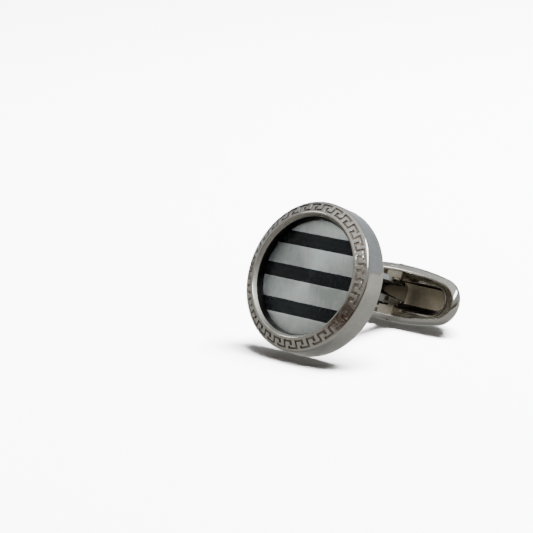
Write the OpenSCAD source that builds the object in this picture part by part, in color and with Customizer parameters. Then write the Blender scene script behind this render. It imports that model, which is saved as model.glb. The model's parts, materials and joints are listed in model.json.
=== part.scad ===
// Round cufflink lying on a table: a polished cup with a key-pattern bezel, a striped face
// plate inside it, and a boat-shaped toggle that swivels on a pin at the end of the post.
// Everything is made in the cufflink's own frame (x along the toggle, y back along the post,
// z up across the face, zero on the face's axis) and is then laid down on the table.

/* [Head] */
// Outer diameter of the round head
head_d = 18; // [14:0.5:22]
// Depth of the side wall, from its front edge to the back
head_depth = 2.9; // [2.6:0.1:4]
// Diameter of the bezel's inner lip, at the middle of its round top
lip_d = 14.96; // [14.8:0.02:15.2]
// Slope of the bezel band
band_slope = 30; // [24:1:34]
// Diameter of the recess that holds the face plate
recess_d = 13.74; // [13.5:0.02:14]
// Depth of the face plate behind the front of the side wall
face_depth = 0.38; // [0.2:0.02:0.6]
// Thickness of the face plate
plate_t = 0.8; // [0.6:0.05:1]

/* [Key pattern] */
// Repeats of the key pattern around the bezel
key_count = 30; // [24:1:32]
// Width of the engraved line
key_line_w = 0.19; // [0.12:0.01:0.2]
// Depth of the engraved line
key_line_depth = 0.14; // [0.08:0.01:0.2]
// Radius of the inner run of the line
key_inner_r = 7.84; // [7.75:0.01:7.95]
// Radius of the outer run of the line
key_outer_r = 8.57; // [8.45:0.01:8.65]

/* [Stripes] */
// Width of a black stripe
stripe_w = 1.66; // [1:0.02:2]
// Distance from one black stripe to the next
stripe_pitch = 4.08; // [3.6:0.02:4.3]
// Height of the middle black stripe above the middle of the face
stripe_rise = 0.15; // [-0.4:0.05:0.4]
// Depth of the pocket that holds a stripe
stripe_depth = 0.3; // [0.2:0.02:0.4]

/* [Post] */
// Height of the post above the middle of the head
post_rise = 2.05; // [0:0.05:2.5]
// Width of the post across the toggle's slot
post_w = 3.2; // [2.8:0.1:3.3]
// Thickness of the post along the toggle
post_t = 2.8; // [2.2:0.1:3]
// Distance from the front edge of the head's wall to the hinge pin
pin_reach = 16.8; // [15:0.1:19]
// Diameter of the hinge pin
pin_d = 0.9; // [0.8:0.05:1.1]

/* [Toggle] */
// Half of the toggle's length
toggle_half_len = 9.8; // [9.4:0.1:10.4]
// Half of the toggle's width
toggle_half_w = 3.6; // [3.4:0.05:4]
// Radius of the toggle's round ends
toggle_end_r = 2.9; // [2.4:0.1:3.1]
// Width of the slot in the toggle
slot_w = 3.56; // [3.4:0.02:3.6]
// Distance from the pin to the slot's closed end
slot_reach = 6.65; // [6:0.05:7]
// Angle of the toggle, from across the post (0) to in line with it (90)
toggle_turn = 0; // [0:1:90]

/* [Hidden] */
$fn = 96;

// How far a cutting shape reaches past what it cuts
cut_over = 0.3;

head_r = head_d / 2;
front_edge_r = 0.4;
front_drop = 0.08;
back_edge_r = 0.35;
lip_r = 0.2;
bevel_slope = 62;
arc_steps = 6;
recess_r = recess_d / 2;
plate_gap = 0.02;
plate_r = recess_r - plate_gap;
seat_depth = face_depth + plate_t + plate_gap;

// The band runs straight from the rounding of the front edge to the rounding of the lip
band_outer_r = head_r - front_edge_r * (1 - sin(band_slope));
band_outer_h = front_edge_r * cos(band_slope) - front_drop;
function band_height(r) = band_outer_h + (band_outer_r - r) * tan(band_slope);
lip_mid_r = lip_d / 2;
band_inner_r = lip_mid_r + lip_r * sin(band_slope);
lip_mid_h = band_height(band_inner_r) - lip_r * cos(band_slope);
bevel_top_r = lip_mid_r - lip_r * sin(bevel_slope);
bevel_top_h = lip_mid_h + lip_r * cos(bevel_slope);
bevel_foot_h = bevel_top_h - (bevel_top_r - recess_r) * tan(bevel_slope);

key_angle = 360 / key_count;
key_mid_r = (key_inner_r + key_outer_r) / 2;
// Corners of one repeat of the line: turn in repeats clockwise of its riser, level from the
// inner run (0) to the outer run (1)
KEY_TURN = 0;
KEY_LEVEL = 1;
key_corners = [
    [-0.55, 0.62],
    [-0.55, 0.00],
    [0.00, 0.00],
    [0.00, 1.00],
    [0.66, 1.00],
    [0.66, 0.72],
];

stripe_sink = 0.02;
stripe_side_gap = 0.01;

flange_r = 2.6;
flange_top_r = 2.4;
flange_t = 0.5;
post_chamfer = 0.7;
post_root = 0.4;
bore_gap = 0.05;
pin_seat_gap = 0.01;
pin_r = pin_d / 2;
pin_end_inset = 0.05;

// Sections of the toggle's outside, from its rim to its back
SEC_Y = 0;
SEC_LEN_CUT = 1;
SEC_WIDTH_CUT = 2;
toggle_sections = [
    [-0.80, 0.66, 0.58],
    [-0.68, 0.20, 0.20],
    [-0.35, 0.00, 0.00],
    [0.30, 0.15, 0.00],
    [0.90, 0.60, 0.04],
    [1.75, 1.35, 0.22],
    [2.40, 2.10, 0.62],
    [3.00, 3.00, 1.28],
    [3.40, 4.10, 2.10],
];
foot_section = 5;
rim_y = toggle_sections[0][SEC_Y];
side_steps = 9;
end_steps = 12;
slice_t = 0.01;
dish_len_cut = 0.9;
dish_width_cut = 0.74;
dish_drop = 0.12;
lug_wall = 0.2;
lip_y = 1.3;
lip_ledge = 0.24;
pocket_y = 2.3;
pocket_half_w = 1.34;
pocket_rise = 0.38;
swing_r = post_t / 2 + 0.15;

// Tilt at which the head's back edge and the toggle's foot both stand on the table
foot_y = pin_reach + toggle_sections[foot_section][SEC_Y];
foot_z = post_rise - toggle_half_w + toggle_sections[foot_section][SEC_WIDTH_CUT];
rest_rise = foot_z + head_r - back_edge_r;
rest_run = foot_y - head_depth + back_edge_r;
tilt = atan2(rest_rise, rest_run) + asin(back_edge_r / norm([rest_rise, rest_run]));
table_drop = -foot_z * cos(tilt) + foot_y * sin(tilt);
front_y = min(
    front_drop * cos(tilt) - (head_r - front_edge_r) * sin(tilt) - front_edge_r,
    -lip_mid_h * cos(tilt) - lip_mid_r * sin(tilt) - lip_r
);
back_y = max([
    for (sec = toggle_sections)
        (pin_reach + sec[SEC_Y]) * cos(tilt) + (post_rise + toggle_half_w - sec[SEC_WIDTH_CUT]) * sin(tilt)
]);
// The slot cuts the tip off the toggle's open end, so its middle lies a little to the right
open_tip_x = toggle_half_len - toggle_end_r + sqrt(pow(toggle_end_r, 2) - pow(slot_w / 2, 2));
middle_x = (toggle_half_len - open_tip_x) / 2;
middle_y = (front_y + back_y) / 2;

// Lays the cufflink on the table, centred over the origin
module laid() {
    translate([-middle_x, -middle_y, table_drop]) rotate([-tilt, 0, 0]) children();
}

// Turns a shape that is spun round +z, face up, to face -y
module facing() {
    rotate([90, 0, 0]) children();
}

// Points along an arc about a middle, from one angle to another
function arc(middle, radius, from, to) = [
    for (i = [0:arc_steps])
        let (a = from + (to - from) * i / arc_steps)
        middle + radius * [cos(a), sin(a)]
];

// Outline of the cup and bezel, spun round the face's axis
module head_profile() {
    polygon(concat(
        [[0, -head_depth]],
        arc([head_r - back_edge_r, back_edge_r - head_depth], back_edge_r, -90, 0),
        arc([head_r - front_edge_r, -front_drop], front_edge_r, 0, 90 - band_slope),
        arc([lip_mid_r, lip_mid_h], lip_r, 90 - band_slope, 90 + bevel_slope),
        [
            [recess_r, bevel_foot_h],
            [recess_r, -seat_depth],
            [0, -seat_depth],
        ]
    ));
}

// A corner of the key pattern on the band's slope
function key_point(corner) =
    let (
        a = corner[KEY_TURN] * key_angle,
        radius = key_inner_r + corner[KEY_LEVEL] * (key_outer_r - key_inner_r)
    )
    [radius * sin(a), (radius * cos(a) - key_mid_r) / cos(band_slope)];
key_path = [for (corner = key_corners) key_point(corner)];

// The outline of a line of even width along a path, with mitred corners
function unit(v) = v / norm(v);
function left_of(v) = [-v[1], v[0]];
function stroke_side(path, half_w) = [
    for (i = [0:len(path) - 1])
        let (
            before = unit(i == 0 ? path[1] - path[0] : path[i] - path[i - 1]),
            after = unit(i == len(path) - 1 ? path[i] - path[i - 1] : path[i + 1] - path[i]),
            mitre = unit(left_of(before) + left_of(after))
        )
        path[i] + mitre * half_w / (mitre * left_of(before))
];
function reversed(list) = [for (i = [len(list) - 1:-1:0]) list[i]];

module key_groove() {
    outline = concat(
        stroke_side(key_path, key_line_w / 2),
        reversed(stroke_side(key_path, -key_line_w / 2))
    );
    translate([0, key_mid_r, band_height(key_mid_r)])
        rotate([-band_slope, 0, 0])
            translate([0, 0, -key_line_depth])
                linear_extrude(key_line_depth + cut_over) polygon(outline);
}

// A straight bar with chamfered corners, along the post's direction
module chamfered_bar(width, depth, chamfer, length) {
    corners = [
        for (side = [[1, 1], [-1, 1], [-1, -1], [1, -1]])
            let (
                across = [side[0] * width / 2, side[1] * (depth / 2 - chamfer)],
                along = [side[0] * (width / 2 - chamfer), side[1] * depth / 2],
                from_side = side[0] * side[1] > 0
            )
            each from_side ? [across, along] : [along, across]
    ];
    rotate([-90, 0, 0]) linear_extrude(length) polygon(corners);
}

// The post, with its flange against the head and its round nose about the pin
module post() {
    root_y = head_depth - post_root;
    translate([0, head_depth, post_rise]) rotate([-90, 0, 0])
        cylinder(r1 = flange_r, r2 = flange_top_r, h = flange_t);
    intersection() {
        translate([0, root_y, post_rise])
            chamfered_bar(post_t, post_w, post_chamfer, pin_reach + post_t / 2 - root_y);
        translate([0, 0, post_rise - post_w]) {
            translate([-post_t, 0, 0]) cube([2 * post_t, pin_reach, 2 * post_w]);
            translate([0, pin_reach, 0]) cylinder(d = post_t, h = 2 * post_w);
        }
    }
}

module head() {
    color("silver") laid() difference() {
        union() {
            facing() difference() {
                rotate_extrude() head_profile();
                for (i = [0:key_count - 1]) rotate([0, 0, -i * key_angle]) key_groove();
            }
            post();
        }
        translate([0, pin_reach, post_rise - post_w]) cylinder(r = pin_r + bore_gap, h = 2 * post_w);
    }
}

// A bar across the face, cut round to the plate's edge
module stripe_bar(row, width, radius, depth_from, depth_to) {
    intersection() {
        translate([0, 0, -depth_to]) cylinder(r = radius, h = depth_to - depth_from);
        translate([-head_r, stripe_rise + row * stripe_pitch - width / 2, -depth_to])
            cube([head_d, width, depth_to - depth_from]);
    }
}

module face_plate() {
    color("lightslategray") laid() facing() difference() {
        translate([0, 0, -face_depth - plate_t]) cylinder(r = plate_r, h = plate_t);
        for (row = [-1:1])
            stripe_bar(row, stripe_w, head_r, face_depth - cut_over, face_depth + stripe_depth);
    }
}

module stripe(row) {
    color([0.06, 0.06, 0.07]) laid() facing()
        stripe_bar(
            row,
            stripe_w - 2 * stripe_side_gap,
            plate_r,
            face_depth + stripe_sink,
            face_depth + stripe_depth - stripe_side_gap
        );
}

// Plan of a boat shape with arc sides that run into round ends
function boat_plan(half_len, half_w, end_r) =
    let (
        end_x = half_len - end_r,
        side_r = (end_x * end_x + half_w * half_w - end_r * end_r) / (2 * (half_w - end_r)),
        side_z = side_r - half_w,
        touch = atan2(side_z, end_x),
        right_end = [
            for (i = [0:end_steps - 1])
                let (a = -touch + 2 * touch * i / end_steps)
                [end_x + end_r * cos(a), end_r * sin(a)]
        ],
        top_side = [
            for (i = [0:side_steps - 1])
                let (a = touch + (180 - 2 * touch) * i / side_steps)
                [side_r * cos(a), side_r * sin(a) - side_z]
        ],
        half = concat(right_end, top_side)
    )
    concat(half, [for (p = half) -p]);

// A thin slice of a boat shape, at a depth along the post's direction
module boat_slice(depth, half_len, half_w, end_r) {
    translate([0, depth + slice_t, 0]) rotate([90, 0, 0])
        linear_extrude(slice_t) polygon(boat_plan(half_len, half_w, end_r));
}

module toggle_slice(depth, len_cut, width_cut) {
    boat_slice(
        depth,
        toggle_half_len - len_cut,
        toggle_half_w - width_cut,
        toggle_end_r * (toggle_half_w - width_cut) / toggle_half_w
    );
}

// A straight slot along the toggle, with one round end, from one depth to another
module slot(from_x, to_x, from_y, to_y) {
    translate([from_x, from_y, -slot_w / 2]) cube([to_x - slot_w / 2 - from_x, to_y - from_y, slot_w]);
    translate([to_x - slot_w / 2, from_y, 0]) rotate([-90, 0, 0]) cylinder(d = slot_w, h = to_y - from_y);
}

// The block left standing in the dish for the pin, which the slot parts into two lugs
module pin_lugs() {
    lug_r = pin_r + lug_wall;
    translate([-swing_r, -lug_r, -toggle_half_w])
        cube([swing_r + lug_r, lug_r + lip_y + 2 * slice_t, 2 * toggle_half_w]);
}

// The foot of the dish, a long round-ended ledge about the slot
module dish_foot() {
    half_w = slot_w / 2 + lip_ledge;
    for (side = [-1, 1])
        translate([side * (slot_reach + lip_ledge - half_w), lip_y, 0])
            rotate([-90, 0, 0]) cylinder(r = half_w, h = slice_t, $fn = 32);
}

// The pocket at the slot's closed end, whose lower wall slopes up to a narrower floor
module pocket() {
    top_x = slot_reach - slot_w / 2;
    hull() {
        translate([0, lip_y, -slot_w / 2]) cube([top_x, slice_t, slot_w]);
        translate([top_x, lip_y, 0]) rotate([-90, 0, 0]) cylinder(d = slot_w, h = slice_t);
        translate([0, pocket_y - slice_t, pocket_rise - pocket_half_w])
            cube([top_x, slice_t, 2 * pocket_half_w]);
        translate([top_x, pocket_y - slice_t, pocket_rise])
            rotate([-90, 0, 0]) cylinder(r = pocket_half_w, h = slice_t);
    }
}

// Places a shape made about the pin at the end of the post, turned with the toggle
module at_pin() {
    laid() translate([0, pin_reach, post_rise]) rotate([0, 0, toggle_turn]) children();
}

module toggle() {
    open_slot_x = toggle_half_len + cut_over;
    pin_hole_z = toggle_half_w + cut_over;
    color("gainsboro") at_pin() difference() {
        hull() for (sec = toggle_sections) toggle_slice(sec[SEC_Y], sec[SEC_LEN_CUT], sec[SEC_WIDTH_CUT]);
        difference() {
            hull() {
                translate([0, 0, -dish_drop]) toggle_slice(rim_y - slice_t, dish_len_cut, dish_width_cut);
                dish_foot();
            }
            pin_lugs();
        }
        slot(0, slot_reach, 0, lip_y + slice_t);
        pocket();
        translate([-open_slot_x, rim_y - cut_over, -slot_w / 2])
            cube([open_slot_x, swing_r - rim_y + cut_over, slot_w]);
        translate([0, 0, -slot_w / 2]) cylinder(r = swing_r, h = slot_w);
        translate([0, 0, -pin_hole_z]) cylinder(r = pin_r + pin_seat_gap, h = 2 * pin_hole_z);
    }
}

module hinge_pin() {
    half_h = toggle_half_w - pin_end_inset;
    color("darkgray") at_pin() translate([0, 0, -half_h]) cylinder(r = pin_r, h = 2 * half_h);
}

head();
face_plate();
stripe(1);  // stripe_top
stripe(0);  // stripe_middle
stripe(-1);  // stripe_bottom
toggle();
hinge_pin();
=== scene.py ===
"""Dresses a packed cufflink: a polished cup with an engraved key pattern round its bezel, a brushed
face with three black bars, and a boat-shaped toggle that swivels on a pin through a square post.

Every piece is modelled in millimetres in the face's own frame (x to the right along the toggle,
y up across the face, z forward out of it, zero on the face's axis at the front of the side wall)
and is then laid down on the table, in metres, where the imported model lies.
"""

from __future__ import annotations

import json
import logging
import math
from collections.abc import Callable, Mapping, Sequence
from dataclasses import dataclass, field
from enum import Enum
from functools import cache

import bmesh
import bpy
from mathutils import Matrix, Quaternion, Vector

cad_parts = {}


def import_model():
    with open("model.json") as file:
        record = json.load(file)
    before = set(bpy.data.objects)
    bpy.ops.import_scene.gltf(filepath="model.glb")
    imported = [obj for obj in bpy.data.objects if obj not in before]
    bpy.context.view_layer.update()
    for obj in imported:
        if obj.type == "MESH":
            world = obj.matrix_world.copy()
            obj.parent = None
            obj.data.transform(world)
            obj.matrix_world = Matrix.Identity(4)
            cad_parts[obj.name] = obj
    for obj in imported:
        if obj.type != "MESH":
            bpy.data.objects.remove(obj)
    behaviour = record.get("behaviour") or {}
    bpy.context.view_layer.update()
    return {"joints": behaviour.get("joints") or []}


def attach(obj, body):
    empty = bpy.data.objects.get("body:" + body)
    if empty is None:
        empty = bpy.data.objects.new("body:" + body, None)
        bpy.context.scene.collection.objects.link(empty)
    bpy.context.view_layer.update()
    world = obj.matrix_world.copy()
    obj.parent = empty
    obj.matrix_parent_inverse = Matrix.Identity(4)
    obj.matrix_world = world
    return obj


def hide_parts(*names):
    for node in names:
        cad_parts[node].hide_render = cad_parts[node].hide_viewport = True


LOG = logging.getLogger("cufflink")
MM = 0.001
NEAR = 0.001
UPRIGHT = (math.pi / 2, 0.0, 0.0)
Point = tuple[float, float, float]
Section = tuple[float, float, float, float]
Colour = tuple[float, float, float]
Outline = list[tuple[float, float]]


# Modelling bench


class Element(Enum):
    """What a selection in edit mode holds."""

    EDGES = "EDGE"
    FACES = "FACE"


@dataclass(frozen=True)
class Lay:
    """How the cufflink lies on the table.

    Attributes:
        tilt: How far the face leans back, in radians.
        origin: Where the middle of the wall's front plane lies, in metres.
    """

    tilt: float
    origin: Point

    @classmethod
    def from_swivel(cls, joint: Mapping[str, object], pin: Vector) -> Lay:
        """Work the lay out from the toggle's joint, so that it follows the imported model.

        Args:
            joint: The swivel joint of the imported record.
            pin: The pin's middle in the face's frame, in millimetres.

        Returns:
            The lay on the table.
        """
        up = Vector(joint["axis"])
        forward = Vector((0, -up.z, up.y))
        origin = Vector(joint["pos_m"]) - (up * pin.y + forward * pin.z) * MM
        return cls(math.atan2(up.y, up.z), tuple(origin))

    def turn(self) -> Point:
        """Return the turn from the face's frame to the table's, as Euler angles."""
        return (math.pi / 2 - self.tilt, 0.0, 0.0)

    def place(self, piece: bpy.types.Object) -> None:
        """Lay a piece made in the face's frame on the table, and apply its place to its mesh.

        Args:
            piece: The piece, in millimetres in the face's frame.
        """
        Bench.choose(piece)
        piece.scale = (MM, MM, MM)
        piece.rotation_euler = self.turn()
        piece.location = self.origin
        bpy.ops.object.transform_apply(location=True, rotation=True, scale=True)


class Bench:
    """Blender's modelling operators, used as by hand on one open piece at a time."""

    @staticmethod
    def choose(*pieces: bpy.types.Object) -> None:
        """Select these objects alone, the first one active.

        Args:
            pieces: The objects to select.
        """
        bpy.ops.object.select_all(action="DESELECT")
        for piece in pieces:
            piece.select_set(True)
        bpy.context.view_layer.objects.active = pieces[0]

    @staticmethod
    def start(name: str, primitive: Callable, **settings: object) -> bpy.types.Object:
        """Add a primitive with nothing else selected, and open it for editing.

        Args:
            name: The new piece's name.
            primitive: The operator that adds the primitive.
            settings: The operator's settings.

        Returns:
            The new object, in edit mode with all of it selected.
        """
        bpy.ops.object.select_all(action="DESELECT")
        primitive(**settings)
        piece = bpy.context.object
        piece.name = name
        piece.data.name = name
        bpy.ops.object.transform_apply(location=True, rotation=True, scale=True)
        bpy.ops.object.mode_set(mode="EDIT")
        bpy.ops.mesh.select_all(action="SELECT")
        return piece

    @staticmethod
    def reopen(piece: bpy.types.Object) -> None:
        """Open a piece for editing again."""
        Bench.choose(piece)
        bpy.ops.object.mode_set(mode="EDIT")

    @staticmethod
    def close() -> None:
        """Leave edit mode."""
        bpy.ops.object.mode_set(mode="OBJECT")

    @staticmethod
    def select(kind: Element, test: Callable[[object], bool]) -> int:
        """Select the open piece's elements that pass a test, and no others.

        Args:
            kind: The kind of element.
            test: Says whether an element is selected.

        Returns:
            How many elements are selected.
        """
        bpy.ops.mesh.select_mode(type=kind.value)
        bpy.ops.mesh.select_all(action="DESELECT")
        shape = bmesh.from_edit_mesh(bpy.context.object.data)
        shape.normal_update()
        found = {Element.EDGES: shape.edges, Element.FACES: shape.faces}[kind]
        chosen = [element for element in found if test(element)]
        for element in chosen:
            element.select_set(True)
        shape.select_flush_mode()
        bmesh.update_edit_mesh(bpy.context.object.data)
        return len(chosen)

    @staticmethod
    def dot(place: Sequence[float]) -> None:
        """Add a single vertex to the open piece and select it alone.

        Args:
            place: Where the vertex goes.
        """
        bpy.ops.mesh.select_mode(type="VERT")
        bpy.ops.mesh.select_all(action="DESELECT")
        bpy.ops.mesh.primitive_plane_add(size=0.1, location=place)
        bpy.ops.mesh.merge(type="CENTER")

    @staticmethod
    def trace(points: Sequence[Vector]) -> None:
        """Draw a chain of edges in the open piece by extruding a vertex from point to point.

        Args:
            points: The chain's points.
        """
        Bench.dot(points[0])
        for before, after in zip(points, points[1:]):
            Bench.extrude(after - before)

    @staticmethod
    def trace_ring(points: Sequence[Vector]) -> None:
        """Draw a closed ring of edges in the open piece; the first point isn't repeated."""
        Bench.trace([*points, points[0]])

    @staticmethod
    def extrude(by: Vector) -> None:
        """Extrude what is selected, and move it."""
        bpy.ops.mesh.extrude_region_move(TRANSFORM_OT_translate={"value": tuple(by)})

    @staticmethod
    def scale(by: Point, about: Sequence[float]) -> None:
        """Scale what is selected about a point that stays."""
        bpy.ops.transform.resize(value=by, center_override=tuple(about))

    @staticmethod
    def bevel(width: float, steps: int) -> None:
        """Round the selected edges to a width in millimetres, with this many faces across."""
        bpy.ops.mesh.bevel(offset=width, segments=steps, affect="EDGES", clamp_overlap=True)

    @staticmethod
    def assign(index: int) -> None:
        """Give the selected faces one of the open piece's materials, by its place in the list."""
        bpy.context.object.active_material_index = index
        bpy.ops.object.material_slot_assign()

    @staticmethod
    def merge(distance: float = 0.0005) -> None:
        """Merge all vertices of the open piece that lie within a distance in millimetres."""
        bpy.ops.mesh.select_all(action="SELECT")
        bpy.ops.mesh.remove_doubles(threshold=distance)

    @staticmethod
    def face_outwards() -> None:
        """Turn all faces of the open piece outwards."""
        bpy.ops.mesh.select_all(action="SELECT")
        bpy.ops.mesh.normals_make_consistent(inside=False)

    @staticmethod
    def apply(piece: bpy.types.Object, kind: str, **settings: object) -> None:
        """Give a piece a modifier and apply it.

        Args:
            piece: The piece.
            kind: The modifier's type.
            settings: The modifier's settings.
        """
        Bench.choose(piece)
        modifier = piece.modifiers.new(kind.title(), kind)
        for key, value in settings.items():
            setattr(modifier, key, value)
        bpy.ops.object.modifier_apply(modifier=modifier.name)

    @staticmethod
    def combine(piece: bpy.types.Object, tool: bpy.types.Object, operation: str) -> None:
        """Cut a piece with a tool (DIFFERENCE) or weld it on (UNION), and throw the tool away."""
        Bench.apply(piece, "BOOLEAN", object=tool, operation=operation, solver="EXACT")
        bpy.data.objects.remove(tool)

    @staticmethod
    def smooth(piece: bpy.types.Object, sharp_from: float) -> None:
        """Shade a piece smooth, except across edges sharper than an angle in degrees."""
        Bench.choose(piece)
        bpy.ops.object.shade_smooth_by_angle(angle=math.radians(sharp_from))

    @staticmethod
    def rod(
        name: str,
        radius: float,
        length: float,
        middle: Sequence[float],
        sides: int = 64,
        turn: Point = (0.0, 0.0, 0.0),
    ) -> bpy.types.Object:
        """Add a rod, and open it for editing.

        Args:
            name: Its name.
            radius: Its radius.
            length: Its length.
            middle: Its middle.
            sides: How many sides it has.
            turn: How it is turned from standing out of the face.

        Returns:
            The rod, in edit mode with all of it selected.
        """
        sizes = {"vertices": sides, "radius": radius, "depth": length}
        place = {"location": tuple(middle), "rotation": turn}
        return Bench.start(name, bpy.ops.mesh.primitive_cylinder_add, **sizes, **place)

    @staticmethod
    def block(name: str, middle: Sequence[float], size: Sequence[float]) -> bpy.types.Object:
        """Add a block, and open it for editing.

        Args:
            name: Its name.
            middle: Its middle.
            size: Its size along each axis.

        Returns:
            The block, in edit mode with all of it selected.
        """
        piece = Bench.start(name, bpy.ops.mesh.primitive_cube_add, size=1.0, location=tuple(middle))
        Bench.scale(tuple(size), middle)
        return piece


def arc(middle: tuple[float, float], radius: float, start: float, end: float, steps: int) -> Outline:
    """Return an arc's points from one angle to another, in degrees, both ends included."""
    turns = [math.radians(start + (end - start) * i / steps) for i in range(steps + 1)]
    return [(middle[0] + radius * math.cos(a), middle[1] + radius * math.sin(a)) for a in turns]


# Shader building


class Link:
    """A shader socket that takes part in Python expressions."""

    def __init__(self, shader: Shader, socket: bpy.types.NodeSocket) -> None:
        """Wrap an output socket of a shader."""
        self.shader = shader
        self.socket = socket

    def _maths(self, operation: str, first: object, second: object) -> Link:
        """Return the result of a Math node on two values or links."""
        return self.shader.node("ShaderNodeMath", {"operation": operation}, {0: first, 1: second})

    def __add__(self, other: object) -> Link:
        """Add."""
        return self._maths("ADD", self, other)

    def __radd__(self, other: object) -> Link:
        """Add, reflected."""
        return self._maths("ADD", other, self)

    def __sub__(self, other: object) -> Link:
        """Subtract."""
        return self._maths("SUBTRACT", self, other)

    def __rsub__(self, other: object) -> Link:
        """Subtract, reflected."""
        return self._maths("SUBTRACT", other, self)

    def __mul__(self, other: object) -> Link:
        """Multiply."""
        return self._maths("MULTIPLY", self, other)

    def __rmul__(self, other: object) -> Link:
        """Multiply, reflected."""
        return self._maths("MULTIPLY", other, self)


class Shader:
    """A material whose nodes are built by Python expressions."""

    def __init__(self, name: str) -> None:
        """Start a material with one surface shader on its output.

        Args:
            name: The material's name.
        """
        self.material = bpy.data.materials.new(name)
        self.material.use_nodes = True
        self.tree = self.material.node_tree
        self.tree.nodes.clear()
        self.surface = self.tree.nodes.new("ShaderNodeBsdfPrincipled")
        output = self.tree.nodes.new("ShaderNodeOutputMaterial")
        self.tree.links.new(self.surface.outputs["BSDF"], output.inputs["Surface"])

    @classmethod
    def over(cls, tree: bpy.types.NodeTree) -> Shader:
        """Make a shader that adds its nodes to a tree that is already there.

        Args:
            tree: The tree, of a world for example.

        Returns:
            The shader, with no material of its own.
        """
        shader = cls.__new__(cls)
        shader.tree = tree
        return shader

    def node(
        self,
        kind: str,
        settings: Mapping[str, object] | None = None,
        sockets: Mapping[str | int, object] | None = None,
        out: str | int = 0,
    ) -> Link:
        """Add a node.

        Args:
            kind: The node's type.
            settings: What is set on the node itself.
            sockets: The values or links of its inputs.
            out: The output that is returned.

        Returns:
            The output as a link.
        """
        made = self.tree.nodes.new(kind)
        for key, value in (settings or {}).items():
            setattr(made, key, value)
        for key, value in (sockets or {}).items():
            socket = made.inputs[key]
            if kind == "ShaderNodeMix" and key != "Factor":
                socket = next(one for one in made.inputs if one.name == key and one.type == made.data_type)
            if isinstance(value, Link):
                self.tree.links.new(value.socket, socket)
            else:
                socket.default_value = value
        return Link(self, made.outputs[out])

    def axes(self, place: Link) -> list[Link]:
        """Return the parts of a place along x, y and z."""
        parts = self.node("ShaderNodeSeparateXYZ", None, {"Vector": place}).socket.node
        return [Link(self, parts.outputs[axis]) for axis in "XYZ"]

    def face_place(self, lay: Lay, stretch: Point = (1.0, 1.0, 1.0)) -> Link:
        """Find the place on a piece in millimetres of the face's frame.

        Args:
            lay: How the cufflink lies.
            stretch: How much a pattern is drawn out along each axis.

        Returns:
            The place as a link.
        """
        place = self.node("ShaderNodeTexCoord", out="Object")
        return self.node(
            "ShaderNodeMapping",
            {"vector_type": "TEXTURE"},
            {
                "Vector": place,
                "Location": lay.origin,
                "Rotation": lay.turn(),
                "Scale": tuple(MM * part for part in stretch),
            },
        )

    def noise(self, vector: Link, scale: float, detail: float = 2.0, roughness: float = 0.5) -> Link:
        """Return a noise from 0 to 1, with so many grains in a unit and so many finer layers."""
        sockets = {"Vector": vector, "Scale": scale, "Detail": detail, "Roughness": roughness}
        return self.node("ShaderNodeTexNoise", None, sockets)

    def spread(self, value: Link, low: float, high: float, start: float, end: float) -> Link:
        """Map a value from the range of start to end to that of low to high, with no overshoot."""
        sockets = {"Value": value, "From Min": start, "From Max": end, "To Min": low, "To Max": high}
        return self.node("ShaderNodeMapRange", {"clamp": True}, sockets)

    def tint(self, share: Link, low: Colour | Link, high: Colour) -> Link:
        """Blend two colours.

        Args:
            share: How much of the second one shows.
            low: The first colour, fixed or itself blended.
            high: The second colour.

        Returns:
            The blended colour.
        """
        first = low if isinstance(low, Link) else (*low, 1.0)
        sockets = {"Factor": share, "A": first, "B": (*high, 1.0)}
        return self.node("ShaderNodeMix", {"data_type": "RGBA"}, sockets, 2)

    def bump(self, height: Link, depth_mm: float, below: Link | None = None) -> Link:
        """Bend a normal by a height.

        Args:
            height: The height, from 0 to 1.
            depth_mm: How deep a height of 1 is, in millimetres.
            below: A normal that is bent further.

        Returns:
            The bent normal.
        """
        sockets = {"Strength": 1.0, "Distance": depth_mm * MM, "Height": height}
        if below is not None:
            sockets["Normal"] = below
        return self.node("ShaderNodeBump", None, sockets)

    def dress(self, **sockets: object) -> bpy.types.Material:
        """Set the surface's sockets.

        Args:
            sockets: Each socket's name, with _ for a space, and its value or link.

        Returns:
            The finished material.
        """
        for key, value in sockets.items():
            socket = self.surface.inputs[key.replace("_", " ")]
            if isinstance(value, Link):
                self.tree.links.new(value.socket, socket)
            else:
                socket.default_value = value
        return self.material


# Finishes


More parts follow.
